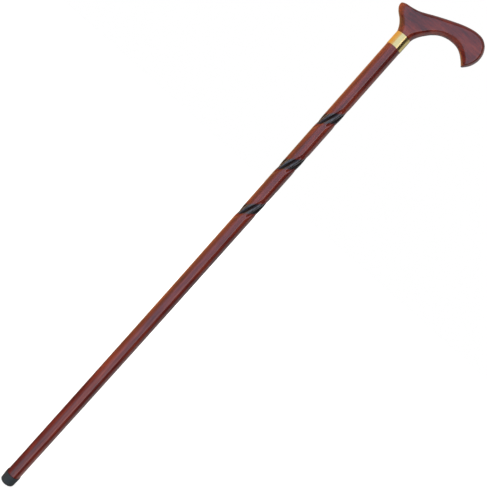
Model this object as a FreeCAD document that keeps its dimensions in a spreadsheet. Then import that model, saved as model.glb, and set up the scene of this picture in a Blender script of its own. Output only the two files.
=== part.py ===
import FreeCAD, Part
import math
import os
import Sketcher

# Wooden derby walking stick, standing upright on its rubber tip.
# +Z runs up the shaft, +X points from the shaft towards the beak of the handle,
# and the origin is the centre of the tread, the flat foot of the rubber ferrule.

doc = FreeCAD.newDocument("walking_stick")
os.makedirs("parts", exist_ok=True)

# Driving dimensions, in millimetres unless the name says otherwise.
SIZES = [
    ("stick_height", 914.0),
    ("handle_reach", 96.5),
    ("nose_reach", 33.1),
    ("handle_height", 66.5),
    ("handle_thickness", 22.4),
    ("handle_edge_round", 6.5),
    ("collar_length", 20.0),
    ("collar_diameter", 22.9),
    ("collar_wall", 1.2),
    ("collar_chamfer", 0.3),
    ("glue_gap", 0.05),
    ("stud_diameter", 8.0),
    ("stud_in_handle", 28.0),
    ("stud_in_shaft", 34.0),
    ("stud_chamfer", 1.0),
    ("shaft_top_diameter", 22.3),
    ("shaft_foot_diameter", 21.4),
    ("taper_length", 390.0),
    ("tip_diameter", 17.4),
    ("tip_chamfer", 0.8),
    ("ferrule_height", 16.0),
    ("ferrule_rim_diameter", 23.6),
    ("ferrule_tread_diameter", 21.8),
    ("ferrule_floor", 4.5),
    ("ferrule_foot_bevel", 1.4),
    ("ferrule_rim_bevel", 0.5),
    ("socket_clearance", 0.05),
    ("washer_thickness", 1.2),
    ("washer_margin", 0.9),
    ("tread_groove_depth", 1.0),
    ("tread_groove_width", 1.3),
    ("tread_groove_step", 3.0),
    ("lowest_twist_height", 537.5),
    ("twist_spacing", 81.8),
    ("twist_lean", 9.5),
    ("twist_pitch", 171.0),
    ("gouge_width", 5.0),
    ("gouge_depth", 1.7),
    ("gouge_stroke", 44.0),
]

sheet = doc.addObject("Spreadsheet::Sheet", "sizes")
for row, (alias, value) in enumerate(SIZES, start=1):
    sheet.set(f"A{row}", alias)
    sheet.set(f"B{row}", str(value))
    sheet.setAlias(f"B{row}", alias)
doc.recompute()


def size(alias):
    return float(sheet.get(alias))


# Levels up the stick, written once and shared by the pieces that meet there.
COLLAR_TOP = "(sizes.stick_height - sizes.handle_height)"
COLLAR_BOTTOM = f"({COLLAR_TOP} - sizes.collar_length)"
JOINT_LEVEL = f"({COLLAR_TOP} - sizes.collar_length / 2)"
SPIGOT_RADIUS = "(sizes.collar_diameter / 2 - sizes.collar_wall - sizes.glue_gap)"
TIP_END = "(sizes.ferrule_floor + sizes.washer_thickness)"
collar_top = size("stick_height") - size("handle_height")


# Sketching helpers.
def body_of(name):
    body = doc.addObject("PartDesign::Body", name)
    body.Label = name
    return body


def origin_plane(body, role):
    return next(item for item in body.Origin.OriginFeatures if item.Role == role)


def upright_sketch(body, name):
    sketch = body.newObject("Sketcher::SketchObject", name)
    sketch.AttachmentSupport = [(origin_plane(body, "XZ_Plane"), "")]
    sketch.MapMode = "FlatFace"
    return sketch


def closed_outline(sketch, points):
    """Draw a closed outline whose corners are (radius, height) pairs of sheet formulas."""
    count = len(points)
    places = []
    for radius, level in points:
        places.append(FreeCAD.Vector(evaluate(radius), evaluate(level), 0))
    for index in range(count):
        sketch.addGeometry(Part.LineSegment(places[index], places[(index + 1) % count]), False)
    for index in range(count):
        sketch.addConstraint(Sketcher.Constraint("Coincident", index, 2, (index + 1) % count, 1))
    for index, (radius, level) in enumerate(points):
        for axis, formula, value in (("X", radius, places[index].x), ("Y", level, places[index].y)):
            if formula == "0":
                line = -2 if axis == "X" else -1
                sketch.addConstraint(Sketcher.Constraint("PointOnObject", index, 1, line))
                continue
            number = sketch.addConstraint(
                Sketcher.Constraint("Distance" + axis, -1, 1, index, 1, value))
            sketch.setExpression(f"Constraints[{number}]", formula)


def evaluate(formula):
    return float(sheet.evalExpression(formula)) if formula != "0" else 0.0


def turned(body, name, points):
    """Turn an outline about the stick's axis."""
    sketch = upright_sketch(body, name + "_outline")
    closed_outline(sketch, points)
    feature = body.newObject("PartDesign::Revolution", name)
    feature.Profile = sketch
    feature.ReferenceAxis = (sketch, ["V_Axis"])
    feature.Angle = 360
    doc.recompute()
    return feature


def ring_edges(feature, wanted):
    """Names of the round edges at the given (radius, height) pairs of sheet formulas."""
    spots = [(evaluate(radius), evaluate(level)) for radius, level in wanted]
    names = []
    for number, edge in enumerate(feature.Shape.Edges, start=1):
        if not isinstance(edge.Curve, Part.Circle):
            continue
        centre = edge.Curve.Center
        for radius, level in spots:
            if math.isclose(edge.Curve.Radius, radius, abs_tol=1e-4) and math.isclose(
                    centre.z, level, abs_tol=1e-4):
                names.append(f"Edge{number}")
    return names


def chamfered(body, name, feature, wanted, formula):
    """Chamfer the round edges at the given places."""
    dress = body.newObject("PartDesign::Chamfer", name)
    dress.Base = (feature, ring_edges(feature, wanted))
    dress.setExpression("Size", formula)
    doc.recompute()
    return dress


# Rubber ferrule: a moulded cap, slightly wider at its rim than at its tread, with a blind
# socket for the shaft's tip, a steel washer moulded into the socket's floor, and ring
# grooves in the tread.
TREAD_RADIUS = "(sizes.ferrule_tread_diameter / 2)"
RIM_RADIUS = "(sizes.ferrule_rim_diameter / 2)"
TIP_RADIUS = "(sizes.tip_diameter / 2)"
SOCKET_RADIUS = f"({TIP_RADIUS} + sizes.socket_clearance)"
WASHER_RADIUS = f"({SOCKET_RADIUS} + sizes.washer_margin)"
TREAD_GROOVES = 2


def make_ferrule():
    body = body_of("ferrule")
    outline = [("0", "0")]
    for turn in range(1, TREAD_GROOVES + 1):
        inner = f"{turn} * sizes.tread_groove_step"
        outer = f"({inner} + sizes.tread_groove_width)"
        outline += [(inner, "0"), (inner, "sizes.tread_groove_depth"),
                    (outer, "sizes.tread_groove_depth"), (outer, "0")]
    outline += [
        (TREAD_RADIUS, "0"),
        (RIM_RADIUS, "sizes.ferrule_height"),
        (SOCKET_RADIUS, "sizes.ferrule_height"),
        (SOCKET_RADIUS, TIP_END),
        (WASHER_RADIUS, TIP_END),
        (WASHER_RADIUS, "sizes.ferrule_floor"),
        ("0", "sizes.ferrule_floor"),
    ]
    cap = turned(body, "ferrule_cap", outline)
    foot = chamfered(body, "ferrule_foot", cap, [(TREAD_RADIUS, "0")], "sizes.ferrule_foot_bevel")
    chamfered(body, "ferrule_lip", foot,
              [(RIM_RADIUS, "sizes.ferrule_height")], "sizes.ferrule_rim_bevel")
    return body


def make_ferrule_washer():
    body = body_of("ferrule_washer")
    turned(body, "washer_disc", [
        ("0", "sizes.ferrule_floor"),
        (WASHER_RADIUS, "sizes.ferrule_floor"),
        (WASHER_RADIUS, TIP_END),
        ("0", TIP_END),
    ])
    return body


# Shaft: turned hardwood, parallel at the top and tapering towards the foot, with a spigot
# at each end: one under the collar, one in the ferrule. Three short twists are carved in
# it. Each is a ring of slanting gouge cuts, and the ring itself leans towards +X.
TOP_RADIUS = "(sizes.shaft_top_diameter / 2)"
FOOT_RADIUS = "(sizes.shaft_foot_diameter / 2)"
STUD_RADIUS = "(sizes.stud_diameter / 2)"
TWISTS = 3
STRANDS = 7
FULL_TURN = 360
FIRST_GOUGE_TURN = -100
GOUGE_LEAN = math.degrees(math.atan(math.pi * size("shaft_top_diameter") / size("twist_pitch")))


def gouge_cut(number, turn, level):
    """One straight stroke of a round gouge: it runs out at both ends where the wood falls away."""
    cutter = doc.addObject("Part::Cylinder", f"gouge_{number}")
    cutter.setExpression("Radius", "sizes.gouge_width / 2")
    cutter.setExpression("Height", "sizes.gouge_stroke")
    lean = FreeCAD.Rotation(FreeCAD.Vector(1, 0, 0), -GOUGE_LEAN)
    radial = FreeCAD.Rotation(FreeCAD.Vector(0, 0, 1), turn)
    reach = (size("shaft_top_diameter") + size("gouge_width")) / 2 - size("gouge_depth")
    start = lean.multVec(FreeCAD.Vector(0, 0, -size("gouge_stroke") / 2))
    place = radial.multVec(FreeCAD.Vector(reach, start.y, start.z)) + FreeCAD.Vector(0, 0, level)
    cutter.Placement = FreeCAD.Placement(place, radial.multiply(lean))
    return cutter


def leaning_ring_spot(strand):
    """Where a strand's groove crosses the leaning ring: its turn and its height over the middle."""
    start = FIRST_GOUGE_TURN + strand * FULL_TURN / STRANDS
    rise = 0.0
    for _ in range(20):
        turn = start + FULL_TURN * rise / size("twist_pitch")
        rise = size("twist_lean") * math.cos(math.radians(turn))
    return turn, rise


def make_shaft():
    blank = body_of("shaft_blank")
    turned(blank, "shaft_turning", [
        ("0", TIP_END),
        (f"({TIP_RADIUS} - sizes.tip_chamfer)", TIP_END),
        (TIP_RADIUS, f"({TIP_END} + sizes.tip_chamfer)"),
        (TIP_RADIUS, "sizes.ferrule_height"),
        (FOOT_RADIUS, "sizes.ferrule_height"),
        (TOP_RADIUS, "(sizes.ferrule_height + sizes.taper_length)"),
        (TOP_RADIUS, COLLAR_BOTTOM),
        (SPIGOT_RADIUS, COLLAR_BOTTOM),
        (SPIGOT_RADIUS, JOINT_LEVEL),
        (STUD_RADIUS, JOINT_LEVEL),
        (STUD_RADIUS, f"({JOINT_LEVEL} - sizes.stud_in_shaft)"),
        ("0", f"({JOINT_LEVEL} - sizes.stud_in_shaft)"),
    ])
    cutters = []
    for twist in range(TWISTS):
        middle = size("lowest_twist_height") + twist * size("twist_spacing")
        for strand in range(STRANDS):
            turn, rise = leaning_ring_spot(strand)
            cutters.append(gouge_cut(f"{twist + 1}_{strand + 1}", turn, middle + rise))
    gouges = doc.addObject("Part::Compound", "gouges")
    gouges.Links = cutters
    shaft = doc.addObject("Part::Cut", "shaft")
    shaft.Base = blank
    shaft.Tool = gouges
    shaft.Label = "shaft"
    return shaft


# Brass collar: a plain sleeve over the butt joint of shaft and handle.
def make_collar():
    body = body_of("collar")
    inner = "(sizes.collar_diameter / 2 - sizes.collar_wall)"
    outer = "(sizes.collar_diameter / 2)"
    sleeve = turned(body, "collar_sleeve", [
        (inner, COLLAR_BOTTOM), (outer, COLLAR_BOTTOM), (outer, COLLAR_TOP), (inner, COLLAR_TOP)])
    chamfered(body, "collar_bevels", sleeve,
              [(outer, COLLAR_BOTTOM), (outer, COLLAR_TOP)], "sizes.collar_chamfer")
    return body


# Steel stud: screwed and glued into both spigots, across the joint.
def make_handle_stud():
    body = body_of("handle_stud")
    low = f"({JOINT_LEVEL} - sizes.stud_in_shaft)"
    high = f"({JOINT_LEVEL} + sizes.stud_in_handle)"
    rod = turned(body, "stud_rod", [("0", low), (STUD_RADIUS, low), (STUD_RADIUS, high), ("0", high)])
    chamfered(body, "stud_points", rod,
              [(STUD_RADIUS, low), (STUD_RADIUS, high)], "sizes.stud_chamfer")
    return body


# Derby handle: one carved block. Sections fan out from the round neck, past the nose, along
# the sloping bar and round to the beak. Each section joins a point of the back line (nose,
# top and rounded end) to a point of the palm line (neck, finger arch and beak). A place is a
# share of the handle's reach to that side of the shaft and a share of its height. The other
# shares give how far the rounded back and palm ends reach in, and the thickness.
SECTION_SHARES = [
    ((-0.337, 0.000), (0.116, 0.000), 1.60, 1.60, 1.00),
    ((-0.410, 0.085), (0.126, 0.080), 1.60, 1.60, 1.00),
    ((-0.505, 0.160), (0.138, 0.140), 1.55, 1.50, 1.00),
    ((-0.650, 0.240), (0.153, 0.200), 1.45, 1.35, 1.00),
    ((-0.810, 0.318), (0.172, 0.257), 1.35, 1.25, 1.00),
    ((-0.950, 0.405), (0.194, 0.310), 1.30, 1.20, 1.00),
    ((-0.985, 0.470), (0.217, 0.355), 1.35, 1.15, 1.00),
    ((-0.860, 0.495), (0.243, 0.395), 1.60, 1.10, 1.00),
    ((-0.600, 0.505), (0.272, 0.433), 1.90, 1.05, 1.00),
    ((-0.300, 0.538), (0.304, 0.471), 1.90, 1.02, 1.00),
    ((-0.030, 0.592), (0.341, 0.507), 1.75, 1.00, 1.00),
    ((0.100, 0.672), (0.385, 0.541), 1.50, 1.00, 1.00),
    ((0.227, 0.757), (0.435, 0.567), 1.30, 1.00, 1.00),
    ((0.364, 0.843), (0.487, 0.583), 1.15, 1.00, 1.00),
    ((0.501, 0.922), (0.541, 0.588), 1.05, 1.00, 1.00),
    ((0.637, 0.977), (0.595, 0.582), 1.00, 1.00, 1.00),
    ((0.747, 1.000), (0.645, 0.566), 1.00, 1.00, 1.00),
    ((0.844, 0.979), (0.690, 0.542), 1.00, 1.00, 1.00),
    ((0.928, 0.896), (0.731, 0.511), 1.00, 1.00, 1.00),
    ((0.980, 0.790), (0.768, 0.478), 1.00, 1.00, 0.98),
    ((1.000, 0.685), (0.801, 0.445), 1.00, 1.00, 0.94),
    ((0.986, 0.580), (0.830, 0.414), 0.90, 0.90, 0.87),
    ((0.940, 0.455), (0.857, 0.385), 0.70, 0.70, 0.72),
    ((0.905, 0.382), (0.876, 0.360), 0.30, 0.30, 0.45),
]
MOST_ROUND_SHARE = 0.46


def handle_spot(shares):
    reach = size("handle_reach") if shares[0] > 0 else size("nose_reach")
    return FreeCAD.Vector(shares[0] * reach, 0, collar_top + shares[1] * size("handle_height"))


def quarter_round(middle, along, across):
    """A quarter of an ellipse, from middle + along to middle + across."""
    quarter_circle_share = 4 / 3 * (math.sqrt(2) - 1)
    start = middle + along
    finish = middle + across
    curve = Part.BezierCurve()
    curve.setPoles([start, start + across * quarter_circle_share,
                    finish + along * quarter_circle_share, finish])
    return curve.toShape()


def handle_section(back, palm, back_round, palm_round, half_thickness):
    """A long section with flat cheeks and rounded ends, from the palm line to the back line."""
    span = back - palm
    along = FreeCAD.Vector(span).normalize()
    across = FreeCAD.Vector(0, half_thickness, 0)
    back_middle = back - along * back_round
    palm_middle = palm + along * palm_round
    edges = [
        quarter_round(back_middle, along * back_round, across),
        Part.makeLine(back_middle + across, palm_middle + across),
        quarter_round(palm_middle, along * -palm_round, across),
        quarter_round(palm_middle, along * -palm_round, -across),
        Part.makeLine(palm_middle - across, back_middle - across),
        quarter_round(back_middle, along * back_round, -across),
    ]
    return Part.Wire(edges)


def handle_sections():
    sections = []
    for number, row in enumerate(SECTION_SHARES, start=1):
        back_shares, palm_shares, back_share, palm_share, thickness_share = row
        back = handle_spot(back_shares)
        palm = handle_spot(palm_shares)
        most = MOST_ROUND_SHARE * (back - palm).Length
        back_round = min(back_share * size("handle_edge_round"), most)
        palm_round = min(palm_share * size("handle_edge_round"), most)
        half = thickness_share * size("handle_thickness") / 2
        section = doc.addObject("Part::Feature", f"handle_section_{number}")
        section.Shape = handle_section(back, palm, back_round, palm_round, half)
        sections.append(section)
    return sections


def make_handle():
    block = doc.addObject("Part::Loft", "handle_block")
    block.Sections = handle_sections()
    block.Solid = True
    block.Ruled = True

    spigot = doc.addObject("Part::Cylinder", "handle_spigot")
    spigot.setExpression("Radius", SPIGOT_RADIUS)
    spigot.setExpression("Height", "sizes.collar_length / 2")
    spigot.setExpression("Placement.Base.z", JOINT_LEVEL)
    carving = doc.addObject("Part::Fuse", "handle_carving")
    carving.Base = block
    carving.Tool = spigot

    bore = doc.addObject("Part::Cylinder", "handle_bore")
    bore.setExpression("Radius", STUD_RADIUS)
    bore.setExpression("Height", "sizes.stud_in_handle")
    bore.setExpression("Placement.Base.z", JOINT_LEVEL)
    handle = doc.addObject("Part::Cut", "handle")
    handle.Base = carving
    handle.Tool = bore
    handle.Label = "handle"
    return handle


pieces = [make_ferrule(), make_ferrule_washer(), make_shaft(), make_collar(),
          make_handle_stud(), make_handle()]
doc.recompute()

for item in doc.Objects:
    if "Invalid" in item.State or "Error" in item.State:
        raise RuntimeError(f"{item.Name} failed: {item.State}")
for piece in pieces:
    if piece.Shape.isNull() or not piece.Shape.isValid():
        raise RuntimeError(f"{piece.Label} has no valid shape")
    piece.Shape.exportStep(f"parts/{piece.Label}.step")
    box = piece.Shape.BoundBox
    print(piece.Label, len(piece.Shape.Solids), round(piece.Shape.Volume, 1),
          [round(value, 2) for value in (box.XMin, box.XMax, box.YMin, box.YMax, box.ZMin, box.ZMax)])
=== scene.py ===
import math

import bmesh
import bpy
from mathutils import Matrix, Vector


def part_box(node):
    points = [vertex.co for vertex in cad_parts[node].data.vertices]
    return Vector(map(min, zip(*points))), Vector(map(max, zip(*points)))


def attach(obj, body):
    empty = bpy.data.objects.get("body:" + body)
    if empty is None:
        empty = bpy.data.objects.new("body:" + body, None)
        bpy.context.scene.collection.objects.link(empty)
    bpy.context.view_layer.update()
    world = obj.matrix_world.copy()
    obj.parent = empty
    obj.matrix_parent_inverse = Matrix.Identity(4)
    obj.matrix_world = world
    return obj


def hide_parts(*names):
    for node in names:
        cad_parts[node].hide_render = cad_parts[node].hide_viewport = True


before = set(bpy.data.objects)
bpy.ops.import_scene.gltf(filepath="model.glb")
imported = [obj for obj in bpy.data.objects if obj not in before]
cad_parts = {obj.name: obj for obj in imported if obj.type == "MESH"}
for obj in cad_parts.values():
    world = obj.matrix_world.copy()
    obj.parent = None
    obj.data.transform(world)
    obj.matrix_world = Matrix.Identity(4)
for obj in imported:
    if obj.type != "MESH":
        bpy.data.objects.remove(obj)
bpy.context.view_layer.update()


# Rubber ferrule: the moulded slate-grey tip that grips the ground. It is turned here with its
# blind socket, a softly rounded foot, two ring grooves in the tread and three faint rings
# round its wall. It is pushed on by hand, so it rides on its own body.
def eased_outline(corners, steps=5):
    """Points of an outline of (radius, height, ease) corners, each eased corner an arc."""
    points = []
    for index, (radius, height, ease) in enumerate(corners):
        corner = Vector((radius, height))
        if not ease:
            points.append(corner)
            continue
        before = Vector(corners[index - 1][:2]) - corner
        after = Vector(corners[(index + 1) % len(corners)][:2]) - corner
        start = corner + before.normalized() * ease
        finish = corner + after.normalized() * ease
        for step in range(steps + 1):
            share = step / steps
            points.append(start * (1 - share) ** 2 + corner * 2 * share * (1 - share)
                          + finish * share ** 2)
    return points


def turned(name, outline, sides, carve=None, sharp_angle=35):
    """Turn an outline of (radius, height) points about the stick's axis."""
    bm = bmesh.new()
    rings = []
    for radius, height in outline:
        if radius < 1e-6:
            rings.append([bm.verts.new((0, 0, height))])
            continue
        ring = []
        for side in range(sides):
            turn = math.tau * side / sides
            reach = carve(radius, turn, height) if carve else radius
            ring.append(bm.verts.new((reach * math.sin(turn), -reach * math.cos(turn), height)))
        rings.append(ring)
    for lower, upper in zip(rings, rings[1:]):
        for side in range(sides):
            after = (side + 1) % sides
            corners = [lower[side % len(lower)], lower[after % len(lower)],
                       upper[after % len(upper)], upper[side % len(upper)]]
            unique = list(dict.fromkeys(corners))
            if len(unique) > 2:
                bm.faces.new(unique)
    bmesh.ops.recalc_face_normals(bm, faces=bm.faces)
    return finished_mesh(name, bm, sharp_angle)


def finished_mesh(name, bm, sharp_angle):
    mesh = bpy.data.meshes.new(name)
    bm.to_mesh(mesh)
    bm.free()
    mesh.polygons.foreach_set("use_smooth", [True] * len(mesh.polygons))
    mesh.set_sharp_from_angle(angle=math.radians(sharp_angle))
    piece = bpy.data.objects.new(name, mesh)
    bpy.context.scene.collection.objects.link(piece)
    return piece


class Value:
    """A socket inside a finish. Arithmetic on it adds Math nodes."""

    def __init__(self, finish, socket):
        self.finish = finish
        self.socket = socket

    def maths(self, operation, first, second=0.0, third=0.0):
        return self.finish.node("ShaderNodeMath", {"operation": operation},
                                {0: first, 1: second, 2: third})

    def __add__(self, other):
        return self.maths("ADD", self, other)

    __radd__ = __add__

    def __sub__(self, other):
        return self.maths("SUBTRACT", self, other)

    def __rsub__(self, other):
        return self.maths("SUBTRACT", other, self)

    def __mul__(self, other):
        return self.maths("MULTIPLY", self, other)

    __rmul__ = __mul__

    def __truediv__(self, other):
        return self.maths("DIVIDE", self, other)

    def __abs__(self):
        return self.maths("ABSOLUTE", self)

    def fade(self, start, finish):
        """0 at start, 1 at finish, smooth between."""
        return self.finish.node(
            "ShaderNodeMapRange", {"interpolation_type": "SMOOTHSTEP"},
            {"Value": self, "From Min": start, "From Max": finish})


class Nodes:
    """A node tree that is written as expressions."""

    def __init__(self, tree):
        self.tree = tree

    def node(self, kind, settings=None, inputs=None, outputs=0):
        """Add a node: its settings first, then values or links for its sockets."""
        made = self.tree.nodes.new(kind)
        for setting, value in (settings or {}).items():
            if setting != "stops":
                setattr(made, setting, value)
                continue
            stops = made.color_ramp.elements
            while len(stops) < len(value):
                stops.new(1.0)
            for stop, (position, colour) in zip(stops, value):
                stop.position = position
                stop.color = (*colour, 1)
        for socket, value in (inputs or {}).items():
            if isinstance(value, Value):
                self.tree.links.new(value.socket, made.inputs[socket])
            else:
                made.inputs[socket].default_value = value
        if isinstance(outputs, tuple):
            return [Value(self, made.outputs[name]) for name in outputs]
        return Value(self, made.outputs[outputs]) if made.outputs else None


class Finish(Nodes):
    """A material for one surface, with the place on the piece at hand."""

    def __init__(self, name, **constants):
        self.material = bpy.data.materials.new(name)
        self.material.use_nodes = True
        super().__init__(self.material.node_tree)
        self.surface = self.tree.nodes["Principled BSDF"]
        for words, constant in constants.items():
            socket = words.replace("_", " ").title().replace("Ior", "IOR")
            self.surface.inputs[socket].default_value = constant
        self.place = self.node("ShaderNodeTexCoord", outputs="Object")
        self.x, self.y, self.z = self.node("ShaderNodeSeparateXYZ", {}, {0: self.place},
                                           ("X", "Y", "Z"))

    def noise(self, scale, detail=2.0, stretch=(1, 1, 1), roughness=0.5):
        """Noise with a scale in features per metre, drawn out by the stretch."""
        place = self.node("ShaderNodeVectorMath", {"operation": "MULTIPLY"},
                          {0: self.place, 1: stretch})
        return self.node("ShaderNodeTexNoise", {},
                         {"Vector": place, "Scale": scale, "Detail": detail,
                          "Roughness": roughness}, "Fac")

    def blend(self, share, under, over):
        """Mix two colours by a share."""
        return self.node("ShaderNodeMix", {"data_type": "RGBA"},
                         {0: share, 6: under, 7: over}, 2)

    def ramp(self, share, stops):
        return self.node("ShaderNodeValToRGB", {"stops": stops}, {0: share}, "Color")

    def relief(self, height, distance):
        return self.node("ShaderNodeBump", {},
                         {"Height": height, "Distance": distance, "Strength": 1.0}, "Normal")

    def feed(self, **links):
        for socket, value in links.items():
            self.tree.links.new(value.socket, self.surface.inputs[socket.replace("_", " ")])
        return self.material


def dressed(piece, material):
    piece.data.materials.clear()
    piece.data.materials.append(material)


SLATE = (0.014, 0.021, 0.025, 1)
WORN_SLATE = (0.042, 0.056, 0.062, 1)
DUST = (0.085, 0.085, 0.078, 1)

rubber_finish = Finish("slate_rubber", specular_ior_level=0.42)
mottle = rubber_finish.noise(420, 4)
grain = rubber_finish.noise(5200, 3)
scuffs = rubber_finish.noise(160, 5, (1, 1, 3.2)).fade(0.56, 0.74)
near_ground = 1 - rubber_finish.z.fade(0.0, 0.005)
rubber_colour = rubber_finish.blend(mottle * 0.7, SLATE, WORN_SLATE)
rubber_colour = rubber_finish.blend(scuffs * 0.45, rubber_colour, WORN_SLATE)
rubber_colour = rubber_finish.blend(near_ground * mottle * 0.6, rubber_colour, DUST)
slate_rubber = rubber_finish.feed(
    Base_Color=rubber_colour,
    Roughness=0.44 + mottle * 0.16 + scuffs * 0.1,
    Normal=rubber_finish.relief(grain + scuffs * 0.4, 0.00006))

ferrule_low, ferrule_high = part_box("ferrule")
washer_low, washer_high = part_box("ferrule_washer")
shaft_low, shaft_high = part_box("shaft")
rim_radius = ferrule_high.x
rim_level = ferrule_high.z
tread_radius = 0.0109
tip_radius = 0.0087
sleeve_clearance = 0.00005
socket_radius = tip_radius + sleeve_clearance
groove_depth = 0.001
groove_width = 0.0013
groove_step = 0.003
groove_ease = 0.0002
foot_round = 0.0019
rim_round = 0.0006
wall_ring_levels = (0.0052, 0.0080, 0.0108)
wall_ring_depth = 0.00045
wall_ring_half = 0.0006
wall_ring_ease = 0.0001
socket_mouth_ease = 0.0004


def wall_radius(level):
    return tread_radius + (rim_radius - tread_radius) * level / rim_level


ferrule_corners = [(0, 0, 0)]
for groove in (1, 2):
    inner = groove * groove_step
    outer = inner + groove_width
    ferrule_corners += [(inner, 0, groove_ease), (inner, groove_depth, groove_ease),
                        (outer, groove_depth, groove_ease), (outer, 0, groove_ease)]
ferrule_corners.append((tread_radius, 0, foot_round))
for level in wall_ring_levels:
    wall = wall_radius(level)
    ferrule_corners += [(wall, level - wall_ring_half, wall_ring_ease),
                        (wall - wall_ring_depth, level, wall_ring_ease),
                        (wall, level + wall_ring_half, wall_ring_ease)]
ferrule_corners += [(rim_radius, rim_level, rim_round),
                    (socket_radius, rim_level, socket_mouth_ease),
                    (socket_radius, washer_high.z, 0), (washer_high.x, washer_high.z, 0),
                    (washer_high.x, washer_low.z, 0), (0, washer_low.z, 0)]
ferrule = turned("rubber_ferrule", eased_outline(ferrule_corners), 128)
dressed(ferrule, slate_rubber)
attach(ferrule, "ferrule_cap")
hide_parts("ferrule")


# Hidden steel: the washer moulded into the ferrule's socket floor, and the stud that holds
# handle and shaft together inside the collar. Both are zinc-plated steel with a dull sheen.
ZINC = (0.50, 0.51, 0.53, 1)
DULL_ZINC = (0.36, 0.37, 0.39, 1)

steel_finish = Finish("zinc_steel", metallic=1.0)
spangle = steel_finish.noise(900, 3)
zinc_steel = steel_finish.feed(
    Base_Color=steel_finish.blend(spangle, ZINC, DULL_ZINC),
    Roughness=0.28 + spangle * 0.2)
for node in ("ferrule_washer", "handle_stud"):
    dressed(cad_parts[node], zinc_steel)


# Shaft: one length of hardwood, turned and tapered, with a slight bow and three short carved
# twists. A slanting ring of seven grooves makes each, stained black under the gloss lacquer; the
# lobes between the grooves carry a painted grey-blue highlight. Its tip sits in the ferrule and
# its upper spigot in the collar.
collar_low, collar_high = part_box("collar")
stud_low, stud_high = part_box("handle_stud")
shaft_radius = shaft_high.x
foot_radius = 0.0107
taper_top = rim_level + 0.390
taper_rows = 40
tip_chamfer = 0.0008
shoulder_sink = 0.0003
shoulder_ease = 0.0002
spigot_radius = 0.0102
twist_levels = (0.5375, 0.6193, 0.7011)
twist_spacing = twist_levels[1] - twist_levels[0]
twist_lean = 0.0095
twist_reach = 0.0185
twist_pitch = 0.171
strands = 7
first_groove_turn = math.radians(-10)
groove_deep = 0.0023
groove_sharpness = 0.95
row_step = 0.0007
natural_bow = 0.0013
twists_from = 0.48
twists_to = 0.76
band_half = 0.0075
band_edge = 0.003
band_raggedness = 0.006
shallow_groove = 0.0003
dark_groove = 0.0011


def carved_radius(radius, turn, level):
    """The shaft's radius where the grooves of a twist sink into it."""
    for middle in twist_levels:
        above_ring = level - middle - twist_lean * math.sin(turn)
        if abs(above_ring) < twist_reach:
            swing = turn - first_groove_turn - math.tau * (level - middle) / twist_pitch
            groove = (1 - abs(math.sin(swing * strands / 2))) ** groove_sharpness
            run_out = (1 - (above_ring / twist_reach) ** 2) ** 1.5
            return radius - groove_deep * groove * run_out
    return radius


shaft_corners = [
    (0, shaft_low.z, 0), (tip_radius - tip_chamfer, shaft_low.z, 0),
    (tip_radius, shaft_low.z + tip_chamfer, 0.0001), (tip_radius, rim_level - shoulder_sink, 0),
    (foot_radius, rim_level - shoulder_sink, shoulder_ease)]
shaft_outline = eased_outline(shaft_corners)
taper_foot = rim_level + 0.001
for row in range(taper_rows + 1):
    share = row / taper_rows
    shaft_outline.append(Vector((foot_radius + (shaft_radius - foot_radius) * share,
                                 taper_foot + (taper_top - taper_foot) * share)))
for middle in twist_levels:
    reach = twist_reach + twist_lean
    rows = round(2 * reach / row_step)
    shaft_outline += [Vector((shaft_radius, middle - reach + 2 * reach * row / rows))
                      for row in range(rows + 1)]
shaft_outline += eased_outline([
    (shaft_radius, collar_low.z, 0), (spigot_radius, collar_low.z, 0),
    (spigot_radius, shaft_high.z, 0.0003), (stud_high.x, shaft_high.z, 0),
    (stud_high.x, stud_low.z, 0), (0, stud_low.z, 0)])
shaft = turned("wooden_shaft", shaft_outline, 210, carved_radius)
for corner in shaft.data.vertices:
    climb = (corner.co.z - rim_level) / (collar_low.z - rim_level)
    if 0 < climb < 1:
        corner.co.x += natural_bow * math.sin(math.pi * climb)

WOOD_LIGHT = (0.250, 0.034, 0.014)
WOOD_MIDDLE = (0.128, 0.012, 0.008)
WOOD_DARK = (0.050, 0.004, 0.004)
BARE_WOOD = (0.50, 0.33, 0.18, 1)
TWIST_BLACK = (0.003, 0.004, 0.005, 1)
# The grey-blue below is a painted highlight for the lobes of the twists, not a stain colour.
TWIST_PAINTED_HIGHLIGHT = (0.055, 0.065, 0.078, 1)


def stained_wood(name, along, patch_scale):
    """Red-brown stained hardwood under lacquer. Its fibres run where the stretch is small."""
    finish = Finish(name, coat_weight=1.0, coat_roughness=0.06, coat_ior=1.6,
                    specular_ior_level=0.12)
    fibres = finish.noise(600, 3, along, 0.5)
    figure = finish.noise(130, 3, along)
    flecks = finish.noise(2600, 2, along).fade(0.60, 0.72)
    patches = finish.noise(patch_scale, 2)
    tone = fibres * 0.26 + figure * 0.52 + patches * 0.22
    colour = finish.ramp(tone, [(0.36, WOOD_DARK), (0.49, WOOD_MIDDLE), (0.64, WOOD_LIGHT)])
    colour = finish.blend(flecks * 0.5, colour, (*WOOD_DARK, 1))
    return finish, colour, fibres, flecks


shaft_finish, shaft_colour, fibres, flecks = stained_wood("shaft_wood", (1, 1, 0.06), 16)
ring_height = shaft_finish.z - shaft_finish.x * (twist_lean / shaft_radius)
wrapped = shaft_finish.node("ShaderNodeMath", {"operation": "WRAP"},
                            {0: ring_height - twist_levels[0], 1: twist_spacing / 2,
                             2: -twist_spacing / 2})
among_twists = (ring_height.fade(twists_from, twists_from + 0.001)
                * (1 - ring_height.fade(twists_to, twists_to + 0.001)))
ragged = shaft_finish.noise(420, 3, (1, 1, 0.35))
band = 1 - (abs(wrapped) + (ragged - 0.5) * band_raggedness).fade(
    band_half, band_half + band_edge)
stain = band * among_twists
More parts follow.
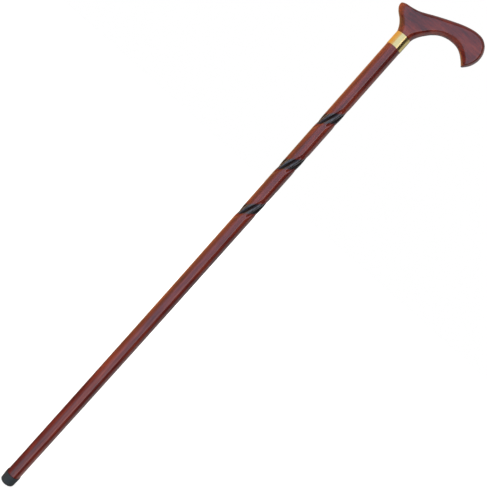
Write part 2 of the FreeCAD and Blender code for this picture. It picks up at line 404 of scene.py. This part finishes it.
# This noise gives the stained bands their bump and places the painted highlight on the lobes.
bump_and_highlight_blotch = shaft_finish.noise(700, 3, (1, 1, 0.25))
climb = (shaft_finish.z - rim_level) / (collar_low.z - rim_level)
bow = shaft_finish.node("ShaderNodeMath", {"operation": "SINE"}, {0: climb * math.pi})
straight_x = shaft_finish.x - bow * natural_bow
axis_distance = shaft_finish.node(
    "ShaderNodeMath", {"operation": "POWER"},
    {0: straight_x * straight_x + shaft_finish.y * shaft_finish.y, 1: 0.5})
in_groove = (shaft_radius - axis_distance).fade(shallow_groove, dark_groove) * among_twists
# Painted highlight: grey-blue on the twists' lobes, outside the grooves, stands in for the
# lacquer's reflection there; the grooves keep the plain black stain.
lobe_painted_highlight = bump_and_highlight_blotch.fade(0.35, 0.65) * (1 - in_groove)
twist_black_with_painted_highlight = shaft_finish.blend(lobe_painted_highlight, TWIST_BLACK, TWIST_PAINTED_HIGHLIGHT)
shaft_colour = shaft_finish.blend(stain * 0.96, shaft_colour, twist_black_with_painted_highlight)
bare_tip = 1 - shaft_finish.z.fade(rim_level - 0.0015, rim_level - 0.0010)
shaft_colour = shaft_finish.blend(bare_tip * 0.85, shaft_colour, BARE_WOOD)
shaft_wood = shaft_finish.feed(
    Base_Color=shaft_colour,
    Roughness=0.30 + fibres * 0.12 + stain * 0.2 + bare_tip * 0.3,
    Coat_Weight=(1 - bare_tip) * (1 - in_groove * 0.85),
    Normal=shaft_finish.relief(fibres * 0.5 - flecks + bump_and_highlight_blotch * stain, 0.00004))
dressed(shaft, shaft_wood)
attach(shaft, "stick")
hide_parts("shaft")


# Collar: a sleeve cut from brass tube, pushed over both spigots to hide the joint. Its edges
# are eased, and it is polished with fine marks round it and a warm tarnish in places.
BRASS = (0.78, 0.62, 0.24, 1)
PALE_BRASS = (0.84, 0.73, 0.34, 1)
TARNISH = (0.50, 0.28, 0.08, 1)

collar_ease = 0.0003
brass_corners = []
for radius, level in ((spigot_radius + sleeve_clearance, collar_low.z),
                      (collar_high.x, collar_low.z), (collar_high.x, collar_high.z),
                      (spigot_radius + sleeve_clearance, collar_high.z)):
    brass_corners.append((radius, level, collar_ease))
brass_outline = eased_outline(brass_corners)
brass_outline.append(brass_outline[0].copy())
collar = turned("brass_collar", brass_outline, 160)

brass_finish = Finish("polished_brass", metallic=1.0)
turning_marks = brass_finish.noise(60, 3, (1, 1, 90))
clouds = brass_finish.noise(150, 3)
tarnish = brass_finish.noise(240, 4).fade(0.58, 0.8)
brass_colour = brass_finish.blend(clouds, BRASS, PALE_BRASS)
brass_colour = brass_finish.blend(tarnish * 0.35, brass_colour, TARNISH)
polished_brass = brass_finish.feed(
    Base_Color=brass_colour,
    Roughness=0.17 + tarnish * 0.16 + turning_marks * 0.08,
    Normal=brass_finish.relief(turning_marks, 0.00001))
dressed(collar, polished_brass)
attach(collar, "stick")
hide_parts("collar")


# Handle: a derby handle carved from one block, with a round neck, a short nose that thins
# towards its end, gently crowned cheeks and a beak that turns down. Each row is one section,
# as shares: its back end, its palm end, the rounding at both, and the thickness.
SECTION_SHARES = [
    ((-0.337, 0.000), (0.116, 0.000), 1.60, 1.60, 1.00),
    ((-0.410, 0.080), (0.127, 0.075), 1.60, 1.60, 1.00),
    ((-0.505, 0.157), (0.144, 0.135), 1.55, 1.50, 1.00),
    ((-0.655, 0.235), (0.167, 0.195), 1.45, 1.35, 1.00),
    ((-0.845, 0.310), (0.192, 0.248), 1.35, 1.25, 1.00),
    ((-0.965, 0.390), (0.220, 0.297), 1.30, 1.20, 1.00),
    ((-0.985, 0.465), (0.246, 0.343), 1.35, 1.15, 1.00),
    ((-0.860, 0.505), (0.272, 0.384), 1.60, 1.10, 1.00),
    ((-0.600, 0.520), (0.300, 0.420), 1.90, 1.05, 1.00),
    ((-0.300, 0.552), (0.331, 0.456), 1.90, 1.02, 1.00),
    ((-0.030, 0.606), (0.367, 0.490), 1.75, 1.00, 1.00),
    ((0.100, 0.684), (0.409, 0.518), 1.50, 1.00, 1.00),
    ((0.227, 0.768), (0.455, 0.538), 1.30, 1.00, 1.00),
    ((0.364, 0.852), (0.503, 0.551), 1.15, 1.00, 1.00),
    ((0.501, 0.928), (0.552, 0.556), 1.05, 1.00, 1.00),
    ((0.637, 0.982), (0.600, 0.555), 1.00, 1.00, 1.00),
    ((0.747, 1.000), (0.645, 0.547), 1.00, 1.00, 1.00),
    ((0.844, 0.982), (0.687, 0.527), 1.00, 1.00, 1.00),
    ((0.928, 0.906), (0.726, 0.499), 1.00, 1.00, 1.00),
    ((0.980, 0.795), (0.762, 0.464), 1.00, 1.00, 0.98),
    ((1.000, 0.680), (0.794, 0.427), 1.00, 1.00, 0.95),
    ((0.995, 0.562), (0.822, 0.391), 0.95, 0.95, 0.90),
    ((0.962, 0.440), (0.847, 0.355), 0.80, 0.80, 0.80),
    ((0.912, 0.348), (0.864, 0.330), 0.40, 0.40, 0.58),
]
handle_low, handle_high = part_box("handle")
handle_foot = collar_high.z
handle_height = handle_high.z - handle_foot
nose_reach = 0.0331
handle_reach = handle_high.x
half_thickness = handle_high.y
edge_round = 0.0065
MOST_ROUND_SHARE = 0.46
CROWN_SHARE = 0.15
NOSE_TAPER_SHARE = 0.45
NOSE_FROM = 0.45
NOSE_OVER = 0.5
beak_end_round = 0.0011
sections_per_row = 7
round_steps = 10
cheek_steps = 8


def spline_share(rows, step):
    """The values of a row at a step along the list, on a smooth curve through the rows."""
    index = min(int(step), len(rows) - 2)
    share = step - index
    around = [rows[max(0, min(len(rows) - 1, index + offset))] for offset in (-1, 0, 1, 2)]
    weights = (-0.5 * share + share ** 2 - 0.5 * share ** 3,
               1 - 2.5 * share ** 2 + 1.5 * share ** 3,
               0.5 * share + 2 * share ** 2 - 1.5 * share ** 3,
               -0.5 * share ** 2 + 0.5 * share ** 3)
    return [sum(weight * row[item] for weight, row in zip(weights, around))
            for item in range(len(rows[0]))]


def row_sizes(row):
    """A row of shares as real places and sizes."""
    places = []
    for across, up in row[:2]:
        reach = handle_reach if across > 0 else nose_reach
        places += [across * reach, handle_foot + up * handle_height]
    return (*places, row[2] * edge_round, row[3] * edge_round, row[4] * half_thickness)


def section_ring(sizes, shrink=1.0):
    """Points round one section, from the middle of the back, over +Y, to the palm and back."""
    back = Vector((sizes[0], 0, sizes[1]))
    palm = Vector((sizes[2], 0, sizes[3]))
    middle = (back + palm) / 2
    along = (back - palm).normalized()
    half_span = (back - palm).length / 2 * shrink
    most = 2 * MOST_ROUND_SHARE * half_span
    back_round = min(sizes[4], most)
    palm_round = min(sizes[5], most)
    thick = sizes[6] * shrink
    nose_share = max(0, min(1, (-back.x / nose_reach - NOSE_FROM) / NOSE_OVER))
    half_ring = []
    for step in range(round_steps):
        turn = math.pi / 2 * step / round_steps
        half_ring.append((half_span - back_round * (1 - math.cos(turn)), thick * math.sin(turn)))
    for step in range(cheek_steps):
        start = half_span - back_round
        finish = palm_round - half_span
        half_ring.append((start + (finish - start) * step / cheek_steps, thick))
    for step in range(round_steps):
        turn = math.pi / 2 * (1 - step / round_steps)
        half_ring.append((palm_round * (1 - math.cos(turn)) - half_span, thick * math.sin(turn)))
    crowned = []
    for reach, side in half_ring:
        share = reach / half_span
        fall = CROWN_SHARE + (NOSE_TAPER_SHARE * nose_share if share > 0 else 0)
        crowned.append((reach, side * (1 - fall * share * share)))
    places = crowned + [(-half_span, 0)]
    places += [(reach, -side) for reach, side in reversed(crowned[1:])]
    ring = []
    for reach, side in places:
        place = middle + along * reach + Vector((0, side, 0))
        ring.append(Vector((max(handle_low.x, min(place.x, handle_high.x)), place.y,
                            min(place.z, handle_high.z))))
    return ring


def carved_handle():
    rows = [row_sizes(row) for row in SECTION_SHARES]
    count = (len(rows) - 1) * sections_per_row
    rings = [section_ring(spline_share(rows, step / sections_per_row))
             for step in range(count + 1)]
    before, last = rows[-2], rows[-1]
    onward = Vector((last[0] + last[2] - before[0] - before[2], 0,
                     last[1] + last[3] - before[1] - before[3])).normalized()
    for share in (0.35, 0.65, 0.87, 1.0):
        turn = math.pi / 2 * share
        shift = onward * beak_end_round * math.sin(turn)
        rings.append([place + shift for place in section_ring(last, max(math.cos(turn), 0.06))])
    neck = []
    for radius, level in ((spigot_radius, handle_foot), (spigot_radius, handle_low.z),
                          (stud_high.x, handle_low.z), (stud_high.x, stud_high.z)):
        ring = []
        for place in rings[0]:
            outward = Vector((place.x, place.y, 0)).normalized() * radius
            ring.append(Vector((outward.x, outward.y, level)))
        neck.insert(0, ring)
    bm = bmesh.new()
    made = [[bm.verts.new(place) for place in ring] for ring in neck + rings]
    for lower, upper in zip(made, made[1:]):
        for index in range(len(lower)):
            after = (index + 1) % len(lower)
            bm.faces.new([lower[index], lower[after], upper[after], upper[index]])
    bm.faces.new(made[0])
    bm.faces.new(made[-1])
    bmesh.ops.recalc_face_normals(bm, faces=bm.faces)
    return finished_mesh("derby_handle", bm, 50)


handle = carved_handle()
handle_finish, handle_colour, fibres, flecks = stained_wood("handle_wood", (0.10, 1, 1), 38)
handle_wood = handle_finish.feed(
    Base_Color=handle_colour,
    Roughness=0.28 + fibres * 0.12,
    Normal=handle_finish.relief(fibres * 0.5 - flecks, 0.00003))
dressed(handle, handle_wood)
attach(handle, "stick")
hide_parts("handle")


# Studio: a white floor under a white surround, with four soft lamps. Curved panels that only
# reflections see stand round the stick: gold and rose on its left, grey in front, then a thin
# bright strip and a dark flag, for the long bands down the lacquer.
floor_reach = 40
near_floor = 0.5
far_floor = 2.5
floor_mesh = bmesh.new()
bmesh.ops.create_grid(floor_mesh, x_segments=8, y_segments=8, size=floor_reach)
floor = finished_mesh("floor", floor_mesh, 30)
floor.visible_glossy = False
white = Finish("white_floor", base_color=(0.8, 0.8, 0.8, 1), roughness=1.0,
               specular_ior_level=0.0, emission_strength=1.0)
camera_sees = white.node("ShaderNodeLightPath", outputs="Is Camera Ray")
from_foot = white.node("ShaderNodeVectorMath", {"operation": "LENGTH"}, {0: white.place}, "Value")
near_glow = 0.62
far_glow = 0.5
glow = near_glow + from_foot.fade(near_floor, far_floor) * far_glow
dressed(floor, white.feed(Emission_Color=glow * camera_sees))

world = bpy.data.worlds.new("white_surround")
bpy.context.scene.world = world
world.use_nodes = True
world.node_tree.nodes.clear()
surround = Nodes(world.node_tree)
plain_light = surround.node("ShaderNodeBackground", {}, {"Strength": 0.34})
seen_white = surround.node("ShaderNodeBackground", {}, {"Color": (1, 1, 1, 1)})
camera_sees = surround.node("ShaderNodeLightPath", outputs="Is Camera Ray")
both = surround.node("ShaderNodeMixShader", {}, {0: camera_sees, 1: plain_light, 2: seen_white})
surround.node("ShaderNodeOutputWorld", {}, {"Surface": both})

stick_middle = Vector((0.02, 0, 0.5))


def softbox(name, turn, rise, distance, width, height, power, colour=(1, 1, 1)):
    """A rectangular lamp that faces the stick, from a turn to the right of the camera's side."""
    lamp = bpy.data.lights.new(name, "AREA")
    lamp.shape = "RECTANGLE"
    lamp.size = width
    lamp.size_y = height
    lamp.energy = power
    lamp.color = colour
    holder = bpy.data.objects.new(name, lamp)
    bpy.context.scene.collection.objects.link(holder)
    turn, rise = math.radians(turn), math.radians(rise)
    outward = Vector((math.sin(turn) * math.cos(rise), -math.cos(turn) * math.cos(rise),
                      math.sin(rise)))
    holder.location = stick_middle + outward * distance
    holder.rotation_euler = outward.to_track_quat("Z", "Y").to_euler()
    holder.visible_camera = False
    holder.visible_glossy = False


softbox("front_softbox", -30, 12, 1.9, 1.6, 1.6, 20, (0.95, 0.97, 1.0))
softbox("warm_key", -75, 42, 2.2, 1.2, 1.2, 22, (1.0, 0.90, 0.78))
softbox("right_fill", 70, 30, 2.4, 1.4, 1.4, 10)
softbox("back_fill", 165, 35, 2.4, 1.4, 1.4, 22)


def reflector(name, first_turn, last_turn, colour, low_colour=None, distance=2.0, height=4.6,
              steps=16):
    """A curved panel that only reflections see, between two turns round the stick."""
    panel_mesh = bmesh.new()
    columns = []
    for step in range(steps + 1):
        turn = math.radians(first_turn + (last_turn - first_turn) * step / steps)
        x, y = distance * math.sin(turn), -distance * math.cos(turn)
        columns.append([panel_mesh.verts.new((x, y, stick_middle.z + side * height / 2))
                        for side in (-1, 1)])
    for before, after in zip(columns, columns[1:]):
        panel_mesh.faces.new([before[0], after[0], after[1], before[1]])
    panel = finished_mesh(name, panel_mesh, 30)
    cloth = Finish(name + "_cloth", base_color=(0, 0, 0, 1), roughness=1.0,
                   specular_ior_level=0.0, emission_strength=1.0)
    dressed(panel, cloth.feed(Emission_Color=cloth.blend(
        cloth.z.fade(-0.7, -0.1), (*(low_colour or colour), 1), (*colour, 1))))
    panel.visible_camera = False
    panel.visible_diffuse = False
    panel.visible_shadow = False


reflector("gold_reflector", -165, -70, (0.90, 0.50, 0.20), (0.20, 0.08, 0.06))
reflector("rose_reflector", -70, -42, (0.84, 0.60, 0.46), (0.40, 0.28, 0.28))
reflector("grey_reflector", -42, 27, (0.88, 0.98, 1.28), (0.80, 0.95, 1.15))
reflector("bright_reflector", 27, 37, (1.9, 1.7, 1.8))
reflector("dark_flag", 37, 84, (0.05, 0.04, 0.03))
reflector("side_grey", 84, 135, (0.55, 0.55, 0.55))


# Camera: level with the twists, tipped down a little and rolled, so that the stick runs from
# the lower left corner of the frame to the upper right.
CAMERA_PLACE = Vector((0.026, -0.9453, 0.5924))
DOWN_TILT = math.radians(5.9)
STICK_RIGHT = 0.6676
STICK_UP = 0.7446
FOCAL_PIXELS = 680
FRAME_PIXELS = 488

forward = Vector((0, math.cos(DOWN_TILT), -math.sin(DOWN_TILT)))
level_up = Vector((0, math.sin(DOWN_TILT), math.cos(DOWN_TILT)))
level_right = Vector((1, 0, 0))
right = level_right * STICK_UP + level_up * STICK_RIGHT
up = level_up * STICK_UP - level_right * STICK_RIGHT
lens = bpy.data.cameras.new("camera")
lens.sensor_width = 36
lens.lens = 36 * FOCAL_PIXELS / FRAME_PIXELS
camera = bpy.data.objects.new("camera", lens)
bpy.context.scene.collection.objects.link(camera)
turned_axes = Matrix((right, up, -forward)).transposed()
camera.matrix_world = Matrix.Translation(CAMERA_PLACE) @ turned_axes.to_4x4()
bpy.context.scene.camera = camera
bpy.context.scene.view_settings.view_transform = "Standard"
